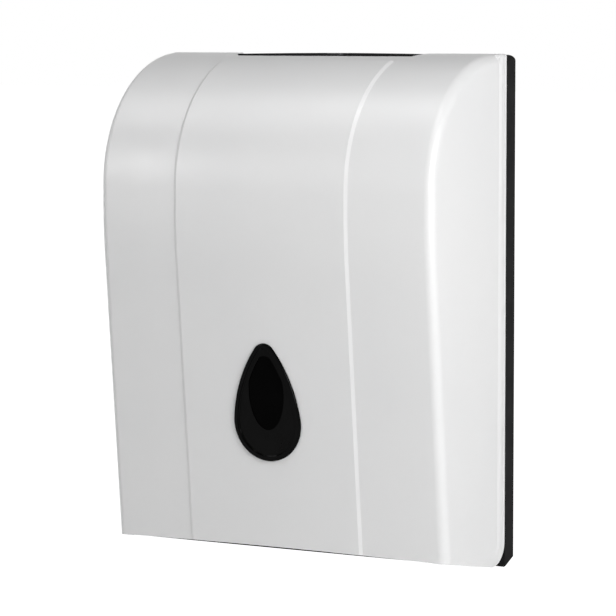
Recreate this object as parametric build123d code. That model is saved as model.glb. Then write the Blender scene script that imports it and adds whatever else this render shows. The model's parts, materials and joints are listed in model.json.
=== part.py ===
from build123d import *
from math import acos, atan2, cos, degrees, radians, sin, sqrt, tan
import os

os.makedirs("parts", exist_ok=True)

# Wall dispenser for folded towels. Millimetres.
# X runs across, the wall is the plane Y = 0, the front faces -Y, and Z is height above the lowest edge.
# At the end every piece is lowered by screw_centre_z, so the origin is the middle of the wall screws.

# Overall size
width = 285.0
height = 370.0
depth = 119.0
front_lean = 21.5
front_edge_z = 12.5
front_arch = 1.5

# Cover
cover_wall = 2.6
knee_drop = 130.0
knee_radius = 400.0
bow_radius = 3400.0
bow_spare_angle = 1.0
corner_radius = 7.0
band_height = 0.8
band_width = 9.5
band_ramp = 3.0
band_corner = 2.0
groove_near = 1.2
groove_far = 2.2
groove_depth = 0.3

# Raised middle panel and the finger recess behind it
panel_half = 74.8
panel_rise = 1.1
panel_run = 2.6
panel_sink = 1.3
panel_end = 55.0
recess_half = 80.0
recess_depth = 2.1
recess_front = 46.0
recess_run = 4.0

# Base
base_depth = 12.5
back_wall = 2.5
rim_wall = 5.7
rim_drop = 0.7
rim_dip_half = 100.0
heel_wall = 2.85
heel_rise = 6.4
base_corner = 4.5
foot_corner = 1.0
pocket_corner = 3.0
back_round = 4.0
tongue_reach = 4.0
rib_height = 3.0
rib_wall = 2.0
rib_margin = 6.0

# Gaps and overlaps
edge_gap = 0.5
fit_gap = 0.2
snug = 0.03
running = 0.05
side_gap = 0.3
clear = 1.0
merge = 0.5

# Hinge
hinge_radius = 17.0
hinge_z = 19.0
pin_radius = 3.0
pin_head_radius = 5.5
pin_head = 1.7
pin_chamfer = 0.5
pin_bite = 0.6
ear_wall = 4.0
ear_radius = 9.0
boss_radius = 7.0
boss_height = 3.7

# Lock bar across the top of the base
bar_half = 81.0
bar_reach = 11.0
bar_drop = 16.5
bar_crown = 0.75
bar_wall = 2.5
bar_cells = 3

# Lock housing and cam lock
housing_half = 15.5
housing_wall = 1.8
housing_set_back = 2.0
housing_sink = 0.8
housing_top = 2.8
housing_round = 1.0
barrel_radius = 6.0
barrel_flange = 8.0
barrel_gap = 0.15
barrel_end = 0.9
plug_radius = 4.0
plug_sink = 0.2
key_half = 2.8
key_width = 1.2
key_depth = 4.8
nut_flats = 14.0
nut_height = 3.0
tang = 5.4
cam_gap = 0.4
cam_wall = 2.0
cam_hub = 7.6
cam_rim = 3.4
cam_round = 1.2
cam_mouth_angle = -45.0
cam_tail_angle = 20.0
cam_end_angle = 4.0

# Strike under the cover's top
post_radius = 2.25
post_gap = 0.8
post_drop = 1.2
strike_ahead = 6.5
strike_drop = 10.0
strike_wall = 2.0
strike_half = 20.0
strike_corner = 4.0
strike_screw_x = 14.0

# Towel tray and its outlet
tray_side_gap = 15.5
tray_front_gap = 6.5
tray_wall = 2.4
tray_rear = 9.0
tray_floor_z = 10.0
tray_top_z = 38.0
tray_step = 8.0
tray_rear_bevel = 4.0
tray_front_bevel = 8.0
tray_rib = 1.8
tray_ribs = 4
tray_rib_pitch = 57.0
tray_screw_drop = 10.0
tray_screw_shares = (-0.8, -0.27, 0.27, 0.8)
outlet_length = 190.0
outlet_width = 34.0
outlet_y = -50.0
lip_wall = 2.6
lip_height = 6.5
lip_drop = 1.5
lip_round = 1.2

# Towel guides
guide_side_gap = 25.5
guide_front_gap = 13.5
guide_wall = 2.2
guide_flange = 13.0
guide_low = 44.0
guide_top_drop = 70.0
guide_rear = 6.5
guide_corner = 12.0
guide_flange_corner = 4.0
guide_lip = 8.0
guide_lip_corner = 5.0
guide_lip_shares = (0.12, 0.62)
guide_slot = 34.0
guide_slot_width = 20.0
guide_slot_shares = (0.22, 0.5, 0.78)
guide_screw_out = 8.2
guide_screw_shares = (0.12, 0.88)

# Teardrop window
drop_z = 105.5
drop_radius = 28.4
tip_radius = 9.5
drop_above = 57.9
flank_radius = 100.0
bezel_proud = 1.8
bezel_lap = 3.2
bezel_edge = 1.4
bezel_floor = 2.2
dish_inset = 3.4
sight_half_width = 15.0
sight_half_height = 27.0
sight_above = 21.5
dish_depth = 1.6
dish_edge = 0.7
lens_wall = 1.8
lens_lap = 2.0
lens_margin = 1.5
lens_sink = 0.6
retainer_wall = 2.0
retainer_lap = 3.0

# Wall screw slots and self-tapping screws
screw_spacing_x = 160.0
screw_spacing_z = 230.0
screw_centre_z = 190.0
slot_radius = 2.75
slot_length = 12.0
slot_boss = 6.5
slot_boss_height = 2.5
tap_radius = 1.5
tap_head = 3.4
tap_head_height = 2.0
tap_head_round = 0.9
tap_cross = 2.0
tap_cross_width = 1.0
tap_boss = 4.2
tap_bite = 4.4
tap_spare = 0.3
tap_floor = 1.2

half = width / 2
side_half = half - band_height
bottom_depth = depth - front_lean
knee_z = height - knee_drop
cover_back = -(base_depth + edge_gap)
hinge_y = cover_back - hinge_radius
taper = atan2(front_lean, knee_z - front_edge_z)
top_radius = depth - base_depth - bar_reach
bow_axis = Axis((0, bow_radius - depth, 0), (0, 0, 1))
bow_angle = 2 * degrees(half / (bow_radius - depth)) + bow_spare_angle
far = 2 * height
ear_outer = side_half - cover_wall - boss_height
bar_front = -(base_depth + bar_reach)
bar_low = height - bar_drop
housing_front = bar_front + housing_set_back
housing_rear = -back_wall - side_gap
housing_up = height - housing_sink
ear_screw_x = housing_half + fit_gap + bar_wall + tap_boss + clear
ear_z = bar_low + tap_head_height + housing_wall + clear
lock_y = (housing_front + housing_rear) / 2
barrel_low = bar_low - barrel_end
cam_up = barrel_low - cam_gap
cam_low = cam_up - cam_wall
strike_y = bar_front - strike_ahead
strike_z = height - strike_drop
cam_throw = lock_y - strike_y
tray_half = half - tray_side_gap
tray_front = bottom_depth - tray_front_gap
guide_inner = half - guide_side_gap
guide_front = bottom_depth - guide_front_gap
guide_high = height - guide_top_drop
guide_span = guide_high - guide_low


def box(x0, x1, y0, y1, z0, z1):
    """Block between two corners."""
    middle = ((x0 + x1) / 2, (y0 + y1) / 2, (z0 + z1) / 2)
    return Pos(*middle) * Box(abs(x1 - x0), abs(y1 - y0), abs(z1 - z0))


def both_sides(shape):
    """The shape and its mirror image in the middle plane."""
    return shape + mirror(shape, about=Plane.YZ)


def rod(radius, start, end):
    """Round bar between two points on a line along one axis."""
    line = Vector(*end) - Vector(*start)
    return extrude(Plane(origin=start, z_dir=line) * Circle(radius), line.length)


def upright(radius, x, y, z0, z1):
    """Round bar along Z."""
    return rod(radius, (x, y, z0), (x, y, z1))


def side_face(*edges):
    """Closed outline drawn in (depth, height) as a face in the plane X = 0."""
    return Plane.YZ * make_face(list(edges))


def front_plane(y):
    """Plane facing the front at depth y, drawn in (X, Z)."""
    return Plane(origin=(0, y, 0), x_dir=(1, 0, 0), z_dir=(0, -1, 0))


def front_point(z, out):
    """Depth of the sloped lower front at height z, moved outwards by out."""
    knee_y, knee = -(depth + out), knee_z - out * tan(taper / 2)
    return knee_y + (knee - z) * tan(taper)


def front_chain(out, low):
    """Top, quarter round, front and taper of the cover as one line, from behind the wall down to low."""
    rear, top = 4 * base_depth, height + out
    round_y, round_z = -(depth - top_radius), height - top_radius
    front = -(depth + out)
    reach = (knee_radius + out) * tan(taper / 2)
    knee = knee_z - out * tan(taper / 2)
    above = (front, knee + reach)
    below = (front + reach * sin(taper), knee - reach * cos(taper))
    end = (front_point(low, out), low)
    return [
        Line((rear, top), (round_y, top)),
        CenterArc((round_y, round_z), top_radius + out, 90, 90),
        Line((front, round_z), above),
        TangentArc(above, below, tangent=(0, -1)),
        Line(below, end),
        Line(end, (rear, low)),
        Line((rear, low), (rear, top)),
    ]


def bowed(out, reach, low):
    """Body with the cover's front, bowed in plan, as wide as twice reach."""
    turned = revolve(side_face(*front_chain(out, low)), bow_axis, bow_angle)
    turned = turned.rotate(bow_axis, -bow_angle / 2)
    return turned & box(-reach, reach, -far, 3 * base_depth, -far, far)


def edges_at(shape, x):
    """Edges of the top and front that lie in the plane of one side."""
    tiny = 1e-4
    flat = shape.edges().filter_by(lambda e: abs(e.bounding_box().min.X - x) < tiny)
    flat = flat.filter_by(lambda e: abs(e.bounding_box().max.X - x) < tiny)
    low, rear = shape.bounding_box().min.Z, shape.bounding_box().max.Y
    return flat.filter_by(lambda e: e.center().Z > low + clear and e.center().Y < rear - clear)


def hinge_touch():
    """Angle about the hinge at which the cover's bottom edge leaves its rounded corner."""
    run, rise = -bottom_depth - hinge_y, front_edge_z - hinge_z
    return atan2(rise, run) + acos(hinge_radius / sqrt(run * run + rise * rise))


def side_limits():
    """Everything in front of the cover's back edge and above its bottom edge, seen from the side."""
    touch = hinge_touch()
    tangent = (hinge_y + hinge_radius * cos(touch), hinge_z + hinge_radius * sin(touch))
    slope = tan(touch - radians(90))
    ahead = -2 * depth
    corner = (ahead, tangent[1] + slope * (ahead - tangent[0]))
    middle = touch / 2
    outer = (hinge_y + hinge_radius * cos(middle), hinge_z + hinge_radius * sin(middle))
    return [
        Line((cover_back, far), (cover_back, hinge_z)),
        ThreePointArc((cover_back, hinge_z), outer, tangent),
        Line(tangent, corner),
        Line(corner, (ahead, far)),
        Line((ahead, far), (cover_back, far)),
    ]


def under_front_edge():
    """Space under the front wall, whose bottom edge arches up slightly between the sides."""
    arch = ThreePointArc((-half, front_edge_z), (0, front_edge_z + front_arch), (half, front_edge_z))
    below = Polyline((half, front_edge_z), (half, -height), (-half, -height), (-half, front_edge_z))
    lean = hinge_touch() - radians(90)
    face = front_plane(-bottom_depth) * make_face([arch, below])
    return extrude(face, 2 * cover_wall, dir=(0, cos(lean), sin(lean)), both=True)


def rim_band():
    """Raised band that follows the back edge and the rounded hinge corner of one side."""
    inner = cover_back - band_width
    lead = hinge_radius - band_width
    reach = -(bottom_depth + hinge_y)
    outline = [
        Line((0, far), (0, -far)),
        Line((0, -far), (hinge_y + reach, -far)),
        Line((hinge_y + reach, -far), (hinge_y + reach, hinge_z - lead)),
        Line((hinge_y + reach, hinge_z - lead), (hinge_y, hinge_z - lead)),
        CenterArc((hinge_y, hinge_z), lead, 270, 90),
        Line((inner, hinge_z), (inner, far)),
        Line((inner, far), (0, far)),
    ]
    band = Pos(side_half - cover_wall / 2) * extrude(side_face(*outline), band_height + cover_wall / 2)
    face = band.faces().sort_by(Axis.X)[-1]
    front = face.edges().filter_by(lambda e: e.center().Y < inner + clear and e.center().Z > -height)
    front = front.filter_by(lambda e: e.center().Y > hinge_y + reach + clear)
    return band.chamfer(band_ramp, band_height, front, face)


def rim_groove():
    """Fine groove along the band of one side, close to the back edge."""
    limits = side_face(*side_limits())
    line = offset(limits, -groove_near) - offset(limits, -groove_far)
    return Pos(half - groove_depth) * extrude(line, band_height)


def band_corners():
    """Crisp top corners of the cover at its back edge, where the side bands end."""
    top = box(half - corner_radius, half, cover_back - band_width, 0, height - corner_radius, height)
    outer = top.edges().filter_by(Axis.Y).sort_by(lambda e: e.center().X + e.center().Z)[-1]
    top = fillet(outer, band_corner)
    face = top.faces().sort_by(Axis.X)[-1]
    return both_sides(top.chamfer(band_ramp, band_height, [face.edges().sort_by(Axis.Y)[0]], face))


def cover_skin():
    """Outer form of the cover before it is hollowed."""
    body = bowed(0, side_half, -far)
    body = fillet(edges_at(body, side_half) + edges_at(body, -side_half), corner_radius)
    panel = bowed(panel_rise, panel_half, -far / 2)
    for side in (-1, 1):
        face = panel.faces().sort_by(Axis.X)[-1 if side > 0 else 0]
        edges = edges_at(panel, side * panel_half)
        panel = panel.chamfer(panel_sink * panel_rise, panel_sink * panel_run, edges, face)
    panel &= box(-half, half, -far, -panel_end, -far, far)
    return body + panel + band_corners()


def top_recess():
    """Shallow finger recess with sloping ends in the top, in front of the lock bar."""
    floor = height - recess_depth
    rise = recess_depth + panel_rise
    run = recess_run * rise / recess_depth
    ends = Polyline((-recess_half, floor), (recess_half, floor), (recess_half + run, floor + rise),
                    (-recess_half - run, floor + rise), close=True)
    return extrude(front_plane(-recess_front) * make_face(ends), -recess_front)


def hinge_boss():
    """Boss inside one side wall that turns on the hinge pin."""
    inner = side_half - cover_wall
    return rod(boss_radius, (ear_outer + side_gap, hinge_y, hinge_z), (inner + merge, hinge_y, hinge_z))


def front_cover():
    """White cover: hollow shell with raised panel, recess, hinge bosses and window hole."""
    skin = cover_skin() - top_recess()
    inner_half = side_half - cover_wall
    cavity = bowed(-cover_wall, inner_half, -far)
    inner_edges = edges_at(cavity, inner_half) + edges_at(cavity, -inner_half)
    shell = skin - fillet(inner_edges, corner_radius - cover_wall)
    floor = height - recess_depth - cover_wall
    pad_half = recess_half + 2 * recess_run
    notch_front = bar_front - edge_gap
    shell += skin & box(-pad_half, pad_half, -recess_front - recess_run, notch_front, floor, height)
    notch_half = bar_half + edge_gap
    shell -= box(-notch_half, notch_half, notch_front, 0, floor - clear, far)
    shell += both_sides(rim_band()) & box(-half, half, -far, 0, -far, height - corner_radius)
    shell += both_sides(hinge_boss())
    shell = shell & extrude(side_face(*side_limits()), width, both=True)
    shell -= both_sides(rim_groove())
    shell -= under_front_edge()
    bore_end = inner_half + pin_bite
    bore = rod(pin_radius + running, (ear_outer, hinge_y, hinge_z), (bore_end, hinge_y, hinge_z))
    shell -= both_sides(bore)
    seat = strike_z + strike_wall
    for x in (-strike_screw_x, strike_screw_x):
        shell += upright(tap_boss, x, strike_y, seat, floor + merge)
        shell -= upright(tap_radius + snug, x, strike_y, seat, seat + tap_bite + tap_spare)
    window = window_plane() * teardrop(fit_gap / 2 - bezel_lap)
    return shell - extrude(window, 4 * cover_wall, both=True)


def window_plane():
    """Plane on the raised panel, centred on the round end of the teardrop, facing outwards."""
    origin = (0, front_point(drop_z, panel_rise), drop_z)
    return Plane(origin=origin, x_dir=(1, 0, 0), z_dir=(0, -cos(taper), -sin(taper)))


def teardrop(grow):
    """Teardrop outline: a round end, two long flanks and a small round tip, moved outwards by grow."""
    tip = drop_above - tip_radius
    near, away = flank_radius - drop_radius, flank_radius - tip_radius
    flank_y = (near ** 2 - away ** 2 + tip ** 2) / (2 * tip)
    flank_x = sqrt(near ** 2 - flank_y ** 2)
    radius = flank_radius + grow
    low_angle = atan2(-flank_y, flank_x)
    high_angle = atan2(tip - flank_y, flank_x)

    def on_flank(angle):
        return (radius * cos(angle) - flank_x, radius * sin(angle) + flank_y)

    low, middle = on_flank(low_angle), on_flank((low_angle + high_angle) / 2)
    high = on_flank(high_angle)
    left = [(-x, y) for x, y in (low, middle, high)]
    return make_face([
        ThreePointArc(left[0], (0, -drop_radius - grow), low),
        ThreePointArc(low, middle, high),
        ThreePointArc(high, (0, drop_above + grow), left[2]),
        ThreePointArc(left[2], left[1], left[0]),
    ])


def sight_oval(grow):
    """Upright oval of the sight hole, grown all round but kept inside the bezel's body."""
    oval = Pos(0, sight_above) * Ellipse(sight_half_width + grow, sight_half_height + grow)
    return oval & teardrop(grow - bezel_lap - lens_margin - lens_lap)


def bow_drop(x):
    """How far the bowed front falls back at x from the middle plane."""
    return x * x / (2 * bow_radius)


def window_bezel():
    """Gloss teardrop moulding with a rounded proud rim, a dished face and an oval sight hole."""
    rim = extrude(teardrop(0), bezel_proud)
    rim = fillet(rim.edges().group_by(Axis.Z)[-1], bezel_edge)
    dish_floor = bezel_proud - dish_depth
    dish = Pos(0, 0, dish_floor) * extrude(teardrop(-dish_inset), bezel_proud)
    dish = chamfer(dish.edges().group_by(Axis.Z)[0], dish_edge)
    body_end = -(panel_rise + cover_wall + retainer_wall + fit_gap)
    body = Pos(0, 0, body_end) * extrude(teardrop(-bezel_lap), -body_end)
    pocket_top = dish_floor - bezel_floor
    pocket = Pos(0, 0, body_end) * extrude(sight_oval(lens_lap + snug), pocket_top - body_end)
    hole = extrude(sight_oval(0), 4 * bezel_proud, both=True)
    return window_plane() * (rim + body - dish - pocket - hole)


def sight_lens():
    """Smoked lens behind the sight hole, with a raised middle that fills the hole."""
    seat = bezel_proud - dish_depth - bezel_floor - snug
    plate = Pos(0, 0, seat - lens_wall) * extrude(sight_oval(lens_lap), lens_wall)
    raised = Pos(0, 0, seat - lens_wall) * extrude(sight_oval(-fit_gap), lens_wall + bezel_floor - lens_sink)
    return window_plane() * (plate + raised)


def window_retainer():
    """Ring pushed over the bezel from inside, against the back of the cover wall."""
    top = -(panel_rise + cover_wall + bow_drop(drop_radius + retainer_lap) + running)
    ring = teardrop(retainer_lap) - teardrop(-bezel_lap + running)
    return window_plane() * Pos(0, 0, top - retainer_wall) * extrude(ring, retainer_wall)


def strike():
    """Strike screwed under the cover's top, with a post for the lock's hook."""
    plate_half = bar_front - edge_gap - clear - strike_y
    outline = Pos(0, strike_y, strike_z) * RectangleRounded(2 * strike_half, 2 * plate_half, strike_corner)
    plate = extrude(outline, strike_wall)
    plate += upright(post_radius, 0, strike_y, cam_low - post_drop, strike_z + merge)
    for x in (-strike_screw_x, strike_screw_x):
        plate -= upright(tap_radius + fit_gap, x, strike_y, cam_low, height)
    return plate


def tapping_screw(grip):
    """Pan head screw with a cross recess: head below the origin, shank up the Z axis."""
    head = Pos(0, 0, -tap_head_height / 2) * Cylinder(tap_head, tap_head_height)
    head = fillet(head.edges().group_by(Axis.Z)[0], tap_head_round)
    slot = Rectangle(2 * tap_cross, tap_cross_width) + Rectangle(tap_cross_width, 2 * tap_cross)
    head -= Pos(0, 0, -tap_head_height) * extrude(slot, tap_cross_width)
    return head + extrude(Circle(tap_radius), grip + tap_bite)


def screws(places, direction, grip):
    """Group of equal screws: heads at the places, shanks along direction through the grip into a boss."""
    return Compound(children=[Plane(origin=place, z_dir=direction) * tapping_screw(grip) for place in places])


def wall_slots():
    """Centres of the four wall screw slots."""
    return [(sx * screw_spacing_x / 2, screw_centre_z + sz * screw_spacing_z / 2)
            for sx in (-1, 1) for sz in (-1, 1)]


def under_heel(wall):
    """Space under the base's slanted heel, or under the inner face of the heel's wall."""
    lift = wall / cos(atan2(heel_rise, base_depth))
    space = Polyline((0, heel_rise + lift), (0, -clear), (-base_depth, -clear), (-base_depth, lift),
                     close=True)
    return extrude(side_face(space), width, both=True)


def base_block():
    """Tray-shaped base before its fittings: rim, tongue and slanted heel."""
    top = height - rim_drop
    outline = Pos(0, top / 2) * Rectangle(width, top)
    outline = fillet(outline.vertices().group_by(Axis.Y)[-1], base_corner)
    outline = fillet(outline.vertices().group_by(Axis.Y)[0], foot_corner)
    block = extrude(front_plane(0) * outline, base_depth) - under_heel(0)
    crest = box(-half, half, -back_round, 0, top - back_round, height)
    round_z = top - back_round
    block -= crest - rod(back_round, (-half, -back_round, round_z), (half, -back_round, round_z))
    tongue_half = side_half - cover_wall - edge_gap
    tongue_top = height - cover_wall - edge_gap
    tongue_low = hinge_z + 2 * ear_radius
    tongue = box(-tongue_half, tongue_half, -base_depth - tongue_reach, -back_wall, tongue_low, tongue_top)
    block += fillet(tongue.edges().filter_by(Axis.Y).group_by(Axis.Z)[-1], corner_radius - cover_wall)
    inner = half - rim_wall
    pocket = box(-inner, inner, -far, -back_wall, heel_wall, top - rim_wall)
    pocket = fillet(pocket.edges().filter_by(Axis.Y), pocket_corner)
    return block - (pocket - under_heel(heel_wall))


def under_crown(reach, low):
    """Outline in (X, Z) under the lock bar's crown line, out to reach and down to low."""
    radius = (bar_half ** 2 + bar_crown ** 2) / (2 * bar_crown)
    end = height - radius + sqrt(radius ** 2 - reach ** 2)
    crown = ThreePointArc((-reach, end), (0, height), (reach, end))
    return make_face([crown, Polyline((reach, end), (reach, low), (-reach, low), (-reach, end))])


def lock_bar():
    """Crowned bar across the top of the base, open below, with a gap for the lock housing."""
    bar = extrude(front_plane(0) * under_crown(bar_half, bar_low), -bar_front)
    hollow_top = height - bar_crown - bar_wall
    gap = housing_half + fit_gap
    for side in (-1, 1):
        start, end = side * (gap + bar_wall), side * (bar_half - bar_wall)
        step = (end - start + side * rib_wall) / bar_cells
        for n in range(bar_cells):
            x0 = start + n * step
            bar -= box(x0, x0 + step - side * rib_wall, bar_front + bar_wall, -back_wall, bar_low, hollow_top)
    bar -= box(-gap, gap, -far, -back_wall, bar_low, far)
    ears_half = ear_screw_x + tap_boss + clear
    seat = ear_z + fit_gap
    bar -= box(-ears_half, ears_half, bar_front + bar_wall, -back_wall, bar_low, seat)
    for x in (-ear_screw_x, ear_screw_x):
        bar += upright(tap_boss, x, lock_y, seat, hollow_top + merge)
        bar -= upright(tap_radius + snug, x, lock_y, seat, ear_z + tap_bite + tap_spare)
    return bar


def hinge_ear():
    """Ear on one side of the base that holds a hinge pin."""
    foot_low, foot_high = heel_rise, hinge_z + 3 * ear_radius
    wall_y = merge - back_wall
    eye = Pos(hinge_y, hinge_z) * Circle(ear_radius)
    web = make_hull([*eye.edges(), Line((wall_y, foot_low), (wall_y, foot_high))])
    inner = ear_outer - ear_wall
    ear = Pos(inner) * extrude(Plane.YZ * web, ear_wall)
    gusset = box(inner, half - rim_wall + merge, -base_depth, wall_y, foot_low, foot_high)
    bore = rod(pin_radius + snug, (inner - ear_wall, hinge_y, hinge_z), (half, hinge_y, hinge_z))
    return ear + gusset - bore


def wall_ribs():
    """Grid of ribs on the back wall."""
    low, high = tray_top_z + rib_margin, bar_low - rib_margin
    reach = guide_inner - rib_margin
    rear, front = merge - back_wall, -back_wall - rib_height
    pitch = screw_spacing_x / 3
    ribs = [box(x - rib_wall / 2, x + rib_wall / 2, front, rear, low, high)
            for x in (-1.5 * pitch, -0.5 * pitch, 0.5 * pitch, 1.5 * pitch)]
    ribs += [box(-reach, reach, front, rear, z - rib_wall / 2, z + rib_wall / 2)
             for z in (low, (low + high) / 2, high)]
    return ribs


def back_plate():
    """Black base that screws to the wall and carries every other piece."""
    base = base_block()
    base -= box(-bar_half, bar_half, -far, 0, bar_low, far)
    rim = box(-rim_dip_half, rim_dip_half, -base_depth - tongue_reach, 0, bar_low, far)
    base -= rim - extrude(front_plane(0) * under_crown(rim_dip_half, bar_low), 2 * base_depth)
    base += lock_bar()
    base += both_sides(hinge_ear())
    base += wall_ribs()
    for x, z in wall_slots():
        boss = Pos(x, z) * SlotOverall(slot_length + 2 * slot_boss - 2 * slot_radius, 2 * slot_boss)
        base += extrude(front_plane(merge - back_wall) * boss, slot_boss_height + merge)
    for x, z in wall_slots():
        slot = Pos(x, z) * SlotOverall(slot_length, 2 * slot_radius)
        base -= extrude(front_plane(0) * slot, back_wall + slot_boss_height + rib_height)
    for places, reach in ((tray_screws_at(), tray_rear), (guide_screws_at(), guide_rear)):
        for x, z in places:
            base += rod(tap_boss, (x, merge - back_wall, z), (x, -reach, z))
            end = max(reach - tap_bite - tap_spare, tap_floor)
            base -= rod(tap_radius + snug, (x, -reach, z), (x, -end, z))
    return base


def tray_screws_at():
    """Places of the tray's screws, as (X, height)."""
    return [(share * tray_half, tray_top_z - tray_screw_drop) for share in tray_screw_shares]


def guide_screws_at():
    """Places of the guides' screws, as (X, height)."""
    x = guide_inner + guide_screw_out
    return [(side * x, guide_low + share * guide_span) for side in (-1, 1) for share in guide_screw_shares]


def tray_section(inset):
    """Side outline of the tray, moved inwards by inset."""
    low, front_low = tray_floor_z, -(tray_front - (tray_top_z - tray_floor_z) * tan(taper))
    outline = Polyline(
        (-tray_rear, tray_top_z), (-tray_rear, low + tray_rear_bevel), (-tray_rear - tray_rear_bevel, low),
        (front_low + tray_front_bevel, low), (front_low, low + tray_front_bevel),
        (-tray_front, tray_top_z - tray_step), (-tray_front, tray_top_z), close=True)
    face = make_face(outline)
    return Plane.YZ * (offset(face, -inset, kind=Kind.INTERSECTION) if inset else face)


def towel_tray():
    """Shallow tray under the towels, with a lipped outlet slot in its floor."""
    inner_half = tray_half - tray_wall
    hollow = extrude(tray_section(tray_wall), inner_half, both=True)
    hollow += box(-inner_half, inner_half, tray_wall - tray_front, -tray_rear - tray_wall,
                  tray_top_z - tray_step, tray_top_z + tray_wall)
    tray = extrude(tray_section(0), tray_half, both=True) - hollow
    lip = Pos(0, outlet_y) * SlotOverall(outlet_length + 2 * lip_wall, outlet_width + 2 * lip_wall)
    lip = Pos(0, 0, tray_floor_z - lip_drop) * extrude(lip, lip_height)
    tray += fillet(lip.edges().group_by(Axis.Z)[-1], lip_round)
    way = extrude(Pos(0, outlet_y) * SlotOverall(outlet_length, outlet_width), height, both=True)
    tray -= way
    rib_rear, rib_front = -tray_rear - tray_rear_bevel - clear, outlet_y + outlet_width / 2 + lip_wall / 2
    for n in range(tray_ribs):
        x = (n - (tray_ribs - 1) / 2) * tray_rib_pitch
        low, high = tray_floor_z - tray_rib, tray_floor_z + merge
        tray += box(x - rib_wall / 2, x + rib_wall / 2, rib_front, rib_rear, low, high)
    for x, z in tray_screws_at():
        tray -= rod(tap_radius + fit_gap, (x, -tray_rear, z), (x, -tray_rear - tray_wall, z))
    return tray


def towel_guide():
    """Right-hand side guide: flange on the back plate, slotted cheek and inward front lip."""
    x0, x1 = guide_inner, guide_inner + guide_wall
    cheek = box(x0, x1, -guide_front, -guide_rear, guide_low, guide_high)
    cheek = fillet(cheek.edges().filter_by(Axis.X).group_by(Axis.Y)[0], guide_corner)
    flange = box(x0, x0 + guide_flange, -guide_rear - guide_wall, -guide_rear, guide_low, guide_high)
    flange = fillet(flange.edges().filter_by(Axis.Y).group_by(Axis.X)[-1], guide_flange_corner)
    lip_low, lip_high = [guide_low + share * guide_span for share in guide_lip_shares]
    lip = box(x0 - guide_lip, x1, -guide_front, -guide_front + guide_wall, lip_low, lip_high)
    lip = fillet(lip.edges().filter_by(Axis.Y).group_by(Axis.X)[0], guide_lip_corner)
    guide = cheek + flange + lip
    middle = -(guide_front + guide_rear + guide_wall) / 2
    for share in guide_slot_shares:
        hole = Pos(middle, guide_low + share * guide_span) * SlotOverall(guide_slot, guide_slot_width)
        guide -= Pos(x0) * extrude(Plane.YZ * hole, 3 * guide_wall, both=True)
    for x, z in guide_screws_at():
        if x > 0:
            guide -= rod(tap_radius + fit_gap, (x, -guide_rear, z), (x, -guide_rear - guide_wall, z))
    return guide


def hinge_pin():
    """Right-hand hinge pin: headed shank from the ear into the cover's boss."""
    inner = ear_outer - ear_wall
    end = side_half - cover_wall + pin_bite - side_gap
    shank = rod(pin_radius, (inner, hinge_y, hinge_z), (end, hinge_y, hinge_z))
    shank = chamfer(shank.edges().sort_by(Axis.X)[-1], pin_chamfer)
    head = rod(pin_head_radius, (inner - pin_head, hinge_y, hinge_z), (inner, hinge_y, hinge_z))
    return shank + fillet(head.edges().sort_by(Axis.X)[0], pin_head / 2)


def lock_housing():
    """Black box in the gap of the lock bar that carries the cam lock, with two screw ears."""
    body = box(-housing_half, housing_half, housing_front, housing_rear, bar_low, housing_up)
    body = fillet(body.edges().filter_by(Axis.X).group_by(Axis.Z)[-1].sort_by(Axis.Y)[0], housing_round)
    inner = housing_half - housing_wall
    ceiling = housing_up - housing_top
    body -= box(-inner, inner, housing_front + housing_wall, housing_rear - housing_wall, bar_low, ceiling)
    reach = ear_screw_x + tap_boss
    ears = box(-reach, reach, lock_y - tap_boss, lock_y + tap_boss, ear_z - housing_wall, ear_z)
    ears = fillet(ears.edges().filter_by(Axis.Z), tap_boss - fit_gap)
    body += ears - box(-inner, inner, -far, 0, bar_low, ceiling)
    body -= upright(barrel_radius + barrel_gap, 0, lock_y, bar_low, height)
    for x in (-ear_screw_x, ear_screw_x):
        body -= upright(tap_radius + fit_gap, x, lock_y, bar_low, height)
    return body


def lock_barrel():
    """Fixed shell of the cam lock, with a thin flange on the housing."""
    flange = upright(barrel_flange, 0, lock_y, housing_up, height)
    flange = chamfer(flange.edges().sort_by(Axis.Z)[-1], housing_sink / 2)
    body = upright(barrel_radius, 0, lock_y, barrel_low, housing_up)
    return flange + body - upright(plug_radius + running, 0, lock_y, barrel_low, height)


def lock_nut():
    """Hexagon nut that clamps the barrel to the housing from below."""
    hexagon = Pos(0, lock_y) * RegularPolygon(nut_flats / 2, 6, major_radius=False)
    nut = hexagon - Pos(0, lock_y) * Circle(barrel_radius + snug)
    return Pos(0, 0, housing_up - housing_top - nut_height) * extrude(nut, nut_height)


def lock_plug():
    """Turning plug of the lock: key slot on top, square tang at the foot."""
    face = height - plug_sink
    plug = upright(plug_radius, 0, lock_y, barrel_low, face)
    square = Rectangle(tang, tang) & Circle(plug_radius)
    plug += Pos(0, lock_y, cam_low + fit_gap) * extrude(square, barrel_low - cam_low)
    plug -= box(-key_half, key_half, lock_y - key_width / 2, lock_y + key_width / 2, face - key_depth, height)
    return plug - upright(tap_radius + snug, 0, lock_y, cam_low, cam_low + tap_bite + tap_spare)


def lock_cam():
    """Hook plate: a curved slot, open at one end, that closes round the strike's post."""
    slot_half = post_radius + post_gap
    reach = cam_throw + slot_half + cam_rim
    angles = [radians(angle) for angle in (cam_mouth_angle, 0, cam_tail_angle)]
    ends = [(2 * reach * cos(angle), 2 * reach * sin(angle)) for angle in angles]
    plate = (Circle(reach) & make_face(Polyline((0, 0), *ends, close=True))) + Circle(cam_hub)
    plate = fillet(plate.vertices().sort_by_distance((reach, 0))[:2], cam_round)
    open_angle = cam_mouth_angle - cam_tail_angle
    plate -= SlotArc(CenterArc((0, 0), cam_throw, open_angle, cam_end_angle - open_angle), 2 * slot_half)
    plate -= Rectangle(tang + 2 * snug, tang + 2 * snug) & Circle(plug_radius + snug)
    return Pos(0, lock_y, cam_low) * extrude(plate, cam_wall)


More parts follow.
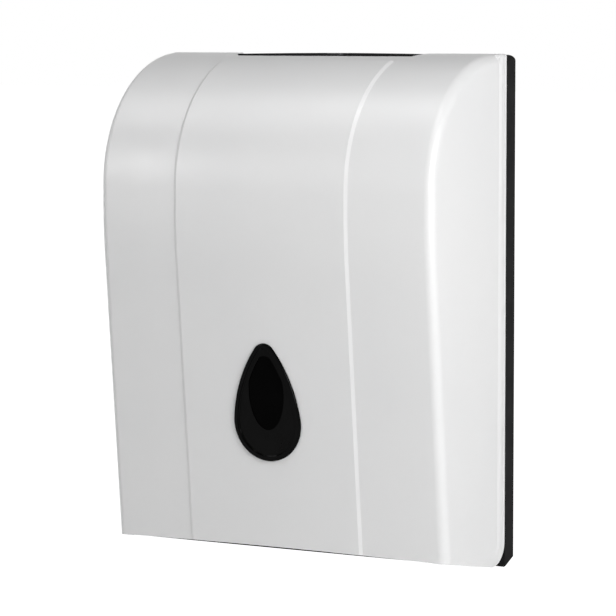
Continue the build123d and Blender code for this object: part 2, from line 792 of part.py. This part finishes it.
def write(name, shape):
    """Lowers a finished piece onto the common origin and writes it."""
    export_step(Pos(0, 0, -screw_centre_z) * shape, f"parts/{name}.step")


def write_cover():
    """The cover and all that moves with it."""
    write("front_cover", front_cover())
    write("window_bezel", window_bezel())
    write("sight_lens", sight_lens())
    write("window_retainer", window_retainer())
    write("cover_strike", strike())
    places = [(x, strike_y, strike_z) for x in (-strike_screw_x, strike_screw_x)]
    write("strike_screws", screws(places, (0, 0, 1), strike_wall))


def write_base():
    """The back plate with the tray, the guides and the hinge pins."""
    write("back_plate", back_plate())
    write("towel_tray", towel_tray())
    places = [(x, -tray_rear - tray_wall, z) for x, z in tray_screws_at()]
    write("tray_screws", screws(places, (0, 1, 0), tray_wall))
    guide = towel_guide()
    write("towel_guide_right", guide)
    write("towel_guide_left", mirror(guide, about=Plane.YZ))
    places = [(x, -guide_rear - guide_wall, z) for x, z in guide_screws_at()]
    write("guide_screws", screws(places, (0, 1, 0), guide_wall))
    pin = hinge_pin()
    write("hinge_pin_right", pin)
    write("hinge_pin_left", mirror(pin, about=Plane.YZ))


def write_lock():
    """The lock in its housing, with the hook plate that turns."""
    write("lock_housing", lock_housing())
    places = [(x, lock_y, ear_z - housing_wall) for x in (-ear_screw_x, ear_screw_x)]
    write("housing_screws", screws(places, (0, 0, 1), housing_wall))
    write("lock_barrel", lock_barrel())
    write("lock_nut", lock_nut())
    write("lock_plug", lock_plug())
    write("lock_cam", lock_cam())
    write("cam_screw", screws([(0, lock_y, cam_low)], (0, 0, 1), 0))


write_cover()
write_base()
write_lock()
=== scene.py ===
import json
from math import cos, radians, sin

import bpy
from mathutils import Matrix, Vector


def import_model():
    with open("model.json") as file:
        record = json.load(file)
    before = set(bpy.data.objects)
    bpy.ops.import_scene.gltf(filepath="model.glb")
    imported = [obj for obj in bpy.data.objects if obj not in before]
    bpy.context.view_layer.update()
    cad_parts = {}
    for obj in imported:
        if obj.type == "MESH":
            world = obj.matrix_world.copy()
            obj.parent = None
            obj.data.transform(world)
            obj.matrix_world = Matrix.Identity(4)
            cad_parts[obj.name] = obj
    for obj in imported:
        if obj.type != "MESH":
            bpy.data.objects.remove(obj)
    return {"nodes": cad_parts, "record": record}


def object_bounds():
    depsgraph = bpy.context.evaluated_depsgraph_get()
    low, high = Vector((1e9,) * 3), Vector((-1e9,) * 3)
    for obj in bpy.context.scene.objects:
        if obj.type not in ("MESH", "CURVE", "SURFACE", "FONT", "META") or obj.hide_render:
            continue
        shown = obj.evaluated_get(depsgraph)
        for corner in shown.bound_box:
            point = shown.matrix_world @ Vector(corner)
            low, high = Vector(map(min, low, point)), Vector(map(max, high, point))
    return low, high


# Looks of a wall dispenser for folded towels. Metres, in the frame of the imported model:
# the wall is the plane Y = 0, the front faces -Y, and the origin is the middle of the wall screws.

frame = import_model()
cad_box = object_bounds()

# Camera, as the photograph was taken: a little above the top of the object and to its right
TURN = radians(32.5)
DROP = radians(4.62)
DISTANCE = 2.538
EYE = 0.200
AIM_DEPTH = -0.060
SIDESTEP = 0.0035
SENSOR = 36.0
CLIP_END = 100.0
LENS = 204.1

# Light
WORLD_STRENGTH = 0.10
SHOWN_LOW = sin(radians(10.0))
SHOWN_HIGH = sin(radians(30.0))
WHITE = (1.0, 1.0, 1.0)
SHOWN_WHITE = 1.0
FLOOR_DROP = 0.30
FLOOR_SIZE = 60.0
FLOOR_COLOUR = (0.90, 0.90, 0.90)
FLOOR_SHADE = (0.88, 0.88, 0.88)
FLOOR_GLOW = 0.60
FLOOR_NEAR = 0.6
FLOOR_FAR = 1.6

# Range in which most values of a noise lie
NOISE_LOW = 0.3
NOISE_HIGH = 0.7

# Lamps: name, azimuth and elevation in degrees, distance, width and height, power in watts
LAMPS = (
    ("right_box", 63.0, 15.0, 1.2, (0.54, 0.48), 10.5),
    ("right_high_box", 50.0, 35.0, 1.6, (0.60, 0.60), 0.6),
    ("front_high_box", 13.0, 62.0, 1.6, (0.30, 0.40), 4.0),
    ("edge_box", 144.0, 3.0, 3.6, (0.63, 0.50), 0.8),
    ("left_box", -46.0, 16.0, 1.7, (0.36, 0.36), 2.9),
    ("left_low_box", -40.0, 6.0, 1.7, (0.25, 0.25), 0.9),
    ("left_middle_box", -53.0, 46.0, 1.7, (0.45, 0.45), 1.5),
    ("left_high_box", -53.0, 64.0, 1.7, (0.45, 0.45), 2.8),
    ("far_left_box", -75.0, 45.0, 1.7, (0.50, 0.50), 1.6),
)

middle = (cad_box[0] + cad_box[1]) / 2


class Graph:
    """Node tree of one material or world, with short ways to add and join its nodes."""

    def __init__(self, owner):
        owner.use_nodes = True
        self.tree = owner.node_tree
        self.tree.nodes.clear()

    def add(self, kind, **settings):
        """New node; settings name its properties."""
        node = self.tree.nodes.new(kind)
        for name, value in settings.items():
            setattr(node, name, value)
        return node

    def put(self, node, **values):
        """Sets inputs of a node by name, or joins them to the sockets given."""
        for name, value in values.items():
            socket = node.inputs[name.replace("_", " ")]
            if isinstance(value, bpy.types.NodeSocket):
                self.tree.links.new(value, socket)
            else:
                socket.default_value = value
        return node

    def place(self):
        """Coordinates that stay with the piece, in metres."""
        return self.add("ShaderNodeTexCoord").outputs["Object"]

    def noise(self, scale, detail=3.0, roughness=0.5, place=None):
        """Noise over the piece: scale is in lumps per metre."""
        node = self.add("ShaderNodeTexNoise")
        self.put(node, Vector=place or self.place(), Scale=scale, Detail=detail, Roughness=roughness)
        return node.outputs["Fac"]

    def spread(self, value, low, high, start=NOISE_LOW, end=NOISE_HIGH):
        """Maps a noise value from its usual range onto low to high."""
        node = self.add("ShaderNodeMapRange")
        self.tree.links.new(value, node.inputs["Value"])
        for name, number in (("From Min", start), ("From Max", end), ("To Min", low), ("To Max", high)):
            node.inputs[name].default_value = number
        return node.outputs["Result"]

    def mix(self, factor, first, second):
        """Colour between two colours."""
        node = self.add("ShaderNodeMix", data_type="RGBA")
        for socket, value in ((node.inputs[0], factor), (node.inputs[6], first), (node.inputs[7], second)):
            if isinstance(value, bpy.types.NodeSocket):
                self.tree.links.new(value, socket)
            else:
                socket.default_value = value if isinstance(value, float) else (*value, 1.0)
        return node.outputs[2]

    def bump(self, height, strength, depth, normal=None):
        """Surface relief of the given depth in metres."""
        node = self.add("ShaderNodeBump")
        self.put(node, Height=height, Strength=strength, Distance=depth)
        if normal is not None:
            self.put(node, Normal=normal)
        return node.outputs["Normal"]

    def math(self, operation, first, second):
        """Result of one sum on two sockets or numbers."""
        node = self.add("ShaderNodeMath", operation=operation)
        for socket, value in zip(node.inputs, (first, second)):
            if isinstance(value, bpy.types.NodeSocket):
                self.tree.links.new(value, socket)
            else:
                socket.default_value = value
        return node.outputs[0]

    def seen_directly(self, share=1.0):
        """1 for camera rays that show the background, and share for rays by way of gloss or glass."""
        path = self.add("ShaderNodeLightPath")
        indirect = self.math("MAXIMUM", path.outputs["Is Glossy Ray"], path.outputs["Is Transmission Ray"])
        return self.math("MAXIMUM", path.outputs["Is Camera Ray"], self.math("MULTIPLY", indirect, share))


def surface(name):
    """New material with a Principled shader: the graph, the shader and the material."""
    material = bpy.data.materials.new(name)
    graph = Graph(material)
    shader = graph.add("ShaderNodeBsdfPrincipled")
    output = graph.add("ShaderNodeOutputMaterial")
    graph.tree.links.new(shader.outputs["BSDF"], output.inputs["Surface"])
    return graph, shader, material


def moulded_white():
    """Satin white ABS of the cover: fine moulded grain, slight unevenness of tone and gloss."""
    graph, shader, material = surface("moulded_white")
    dark, light = (0.785, 0.787, 0.790), (0.805, 0.805, 0.805)
    tone = graph.mix(graph.spread(graph.noise(9.0), 0.0, 1.0), dark, light)
    graph.put(shader, Base_Color=tone, Roughness=graph.spread(graph.noise(35.0, 4.0), 0.33, 0.40))
    grain = graph.bump(graph.noise(2600.0, 2.0), 0.25, 0.00004)
    sink = graph.bump(graph.noise(14.0, 1.0), 0.12, 0.0006, grain)
    graph.put(shader, Normal=sink, IOR=1.5, Specular_IOR_Level=0.75)
    return material


def moulded_black():
    """Matt black polypropylene of the base, tray and guides, with an eroded grain."""
    graph, shader, material = surface("moulded_black")
    dark, light = (0.013, 0.013, 0.0135), (0.019, 0.019, 0.019)
    tone = graph.mix(graph.spread(graph.noise(60.0, 5.0), 0.0, 1.0), dark, light)
    graph.put(shader, Base_Color=tone, Roughness=graph.spread(graph.noise(180.0, 3.0), 0.42, 0.58))
    graph.put(shader, Specular_IOR_Level=0.015)
    graph.put(shader, Normal=graph.bump(graph.noise(1800.0, 4.0, 0.7), 0.35, 0.00006))
    return material


def gloss_black():
    """Polished black moulding of the window bezel."""
    graph, shader, material = surface("gloss_black")
    dark, light = (0.0012, 0.0012, 0.0012), (0.0026, 0.0026, 0.0026)
    tone = graph.mix(graph.spread(graph.noise(80.0), 0.0, 1.0), dark, light)
    graph.put(shader, Base_Color=tone, Roughness=graph.spread(graph.noise(220.0, 3.0), 0.06, 0.10))
    graph.put(shader, Normal=graph.bump(graph.noise(90.0, 2.0), 0.10, 0.0001))
    graph.put(shader, Specular_IOR_Level=0.04)
    return material


def smoked():
    """Dark smoked lens: almost black, with a faint gloss."""
    graph, shader, material = surface("smoked")
    dark, light = (0.0006, 0.0006, 0.0006), (0.0012, 0.0012, 0.0012)
    tone = graph.mix(graph.spread(graph.noise(50.0), 0.0, 1.0), dark, light)
    graph.put(shader, Base_Color=tone, Roughness=graph.spread(graph.noise(150.0), 0.08, 0.12))
    graph.put(shader, Specular_IOR_Level=0.01)
    return material


def plated(name, dark, light, rough, streak):
    """Plated metal: tone and gloss vary along fine streaks."""
    graph, shader, material = surface(name)
    stretched = graph.add("ShaderNodeMapping")
    graph.put(stretched, Vector=graph.place(), Scale=streak)
    streaks = graph.noise(900.0, 4.0, 0.6, stretched.outputs["Vector"])
    tone = graph.mix(graph.spread(streaks, 0.0, 1.0), dark, light)
    graph.put(shader, Base_Color=tone, Metallic=1.0)
    graph.put(shader, Roughness=graph.spread(streaks, rough, rough + 0.12))
    graph.put(shader, Normal=graph.bump(streaks, 0.15, 0.00002))
    return material


def dress():
    """Gives every CAD node its material by the slot that the record names for it."""
    finishes = {
        "cover_white": moulded_white(),
        "base_black": moulded_black(),
        "bezel_black": gloss_black(),
        "smoked_lens": smoked(),
        "screw_steel": plated("screw_steel", (0.42, 0.42, 0.43), (0.60, 0.60, 0.61), 0.30, (1.0, 1.0, 0.15)),
        "pin_steel": plated("pin_steel", (0.50, 0.50, 0.51), (0.64, 0.64, 0.65), 0.22, (0.1, 1.0, 1.0)),
        "lock_metal": plated("lock_metal", (0.06, 0.06, 0.065), (0.10, 0.10, 0.10), 0.30, (1.0, 1.0, 0.2)),
        "zinc": plated("zinc", (0.46, 0.46, 0.47), (0.62, 0.62, 0.64), 0.34, (0.2, 1.0, 1.0)),
    }
    for part in frame["record"]["subparts"]:
        mesh = frame["nodes"][part["node"]].data
        mesh.materials.clear()
        mesh.materials.append(finishes[part["material_slot"]])


def world():
    """Dim grey light all round; white where the background itself is seen, which gloss sees up to the sky."""
    made = bpy.data.worlds.new("studio")
    bpy.context.scene.world = made
    graph = Graph(made)
    light = graph.put(graph.add("ShaderNodeBackground"), Color=(*WHITE, 1.0), Strength=WORLD_STRENGTH)
    shown = graph.put(graph.add("ShaderNodeBackground"), Color=(*WHITE, 1.0), Strength=SHOWN_WHITE)
    height = graph.add("ShaderNodeSeparateXYZ")
    graph.tree.links.new(graph.add("ShaderNodeTexCoord").outputs["Generated"], height.inputs[0])
    share = graph.spread(height.outputs["Z"], 1.0, 0.0, SHOWN_LOW, SHOWN_HIGH)
    join = graph.add("ShaderNodeMixShader")
    graph.tree.links.new(graph.seen_directly(share), join.inputs[0])
    graph.tree.links.new(light.outputs[0], join.inputs[1])
    graph.tree.links.new(shown.outputs[0], join.inputs[2])
    graph.tree.links.new(join.outputs[0], graph.add("ShaderNodeOutputWorld").inputs["Surface"])


def floor():
    """Pale floor below the object: it keeps the shadow and runs out into white."""
    z = cad_box[0].z - FLOOR_DROP
    half = FLOOR_SIZE / 2
    mesh = bpy.data.meshes.new("floor")
    corners = [(x, y, z) for x, y in ((-half, -half), (half, -half), (half, half), (-half, half))]
    mesh.from_pydata(corners, [], [range(4)])
    made = bpy.data.objects.new("floor", mesh)
    bpy.context.scene.collection.objects.link(made)
    material = bpy.data.materials.new("floor")
    graph = Graph(material)
    away = graph.add("ShaderNodeVectorMath", operation="LENGTH")
    level = graph.add("ShaderNodeVectorMath", operation="MULTIPLY")
    graph.tree.links.new(graph.place(), level.inputs[0])
    level.inputs[1].default_value = (1.0, 1.0, 0.0)
    graph.tree.links.new(level.outputs[0], away.inputs[0])
    strength = graph.spread(away.outputs["Value"], FLOOR_GLOW, SHOWN_WHITE, FLOOR_NEAR, FLOOR_FAR)
    glow = graph.math("MULTIPLY", strength, graph.seen_directly())
    emission = graph.put(graph.add("ShaderNodeEmission"), Color=(*WHITE, 1.0), Strength=glow)
    cloudy = graph.mix(graph.spread(graph.noise(3.0), 0.0, 1.0), FLOOR_COLOUR, FLOOR_SHADE)
    matt = graph.put(graph.add("ShaderNodeBsdfDiffuse"), Color=cloudy)
    join = graph.add("ShaderNodeAddShader")
    graph.tree.links.new(emission.outputs[0], join.inputs[0])
    graph.tree.links.new(matt.outputs[0], join.inputs[1])
    graph.tree.links.new(join.outputs[0], graph.add("ShaderNodeOutputMaterial").inputs["Surface"])
    mesh.materials.append(material)


def softbox(name, azimuth, elevation, distance, size, power, aim=middle):
    """Soft area lamp aimed at the object; azimuth 0 is straight in front of it, 90 to its right."""
    around, up = radians(azimuth), radians(elevation)
    toward = Vector((sin(around) * cos(up), -cos(around) * cos(up), sin(up)))
    lamp = bpy.data.lights.new(name, "AREA")
    lamp.shape = "RECTANGLE"
    lamp.size, lamp.size_y = size
    lamp.energy = power
    made = bpy.data.objects.new(name, lamp)
    made.location = aim + toward * distance
    made.rotation_mode = "QUATERNION"
    made.rotation_quaternion = toward.to_track_quat("Z", "Y")
    bpy.context.scene.collection.objects.link(made)
    return made


def camera():
    """Camera at the photograph's angle."""
    ahead = Vector((-sin(TURN), cos(TURN), 0.0))
    right = Vector((cos(TURN), sin(TURN), 0.0))
    view = bpy.data.cameras.new("camera")
    view.sensor_width = SENSOR
    view.lens = LENS
    view.clip_end = CLIP_END
    made = bpy.data.objects.new("camera", view)
    made.location = Vector((0.0, AIM_DEPTH, EYE)) - ahead * DISTANCE + right * SIDESTEP
    forward = ahead * cos(DROP) - Vector((0.0, 0.0, sin(DROP)))
    made.rotation_mode = "QUATERNION"
    made.rotation_quaternion = forward.to_track_quat("-Z", "Y")
    bpy.context.scene.collection.objects.link(made)
    bpy.context.scene.camera = made


bpy.context.scene.view_settings.view_transform = "Standard"
dress()
world()
floor()
for lamp in LAMPS:
    softbox(*lamp)
camera()
bpy.context.view_layer.update()
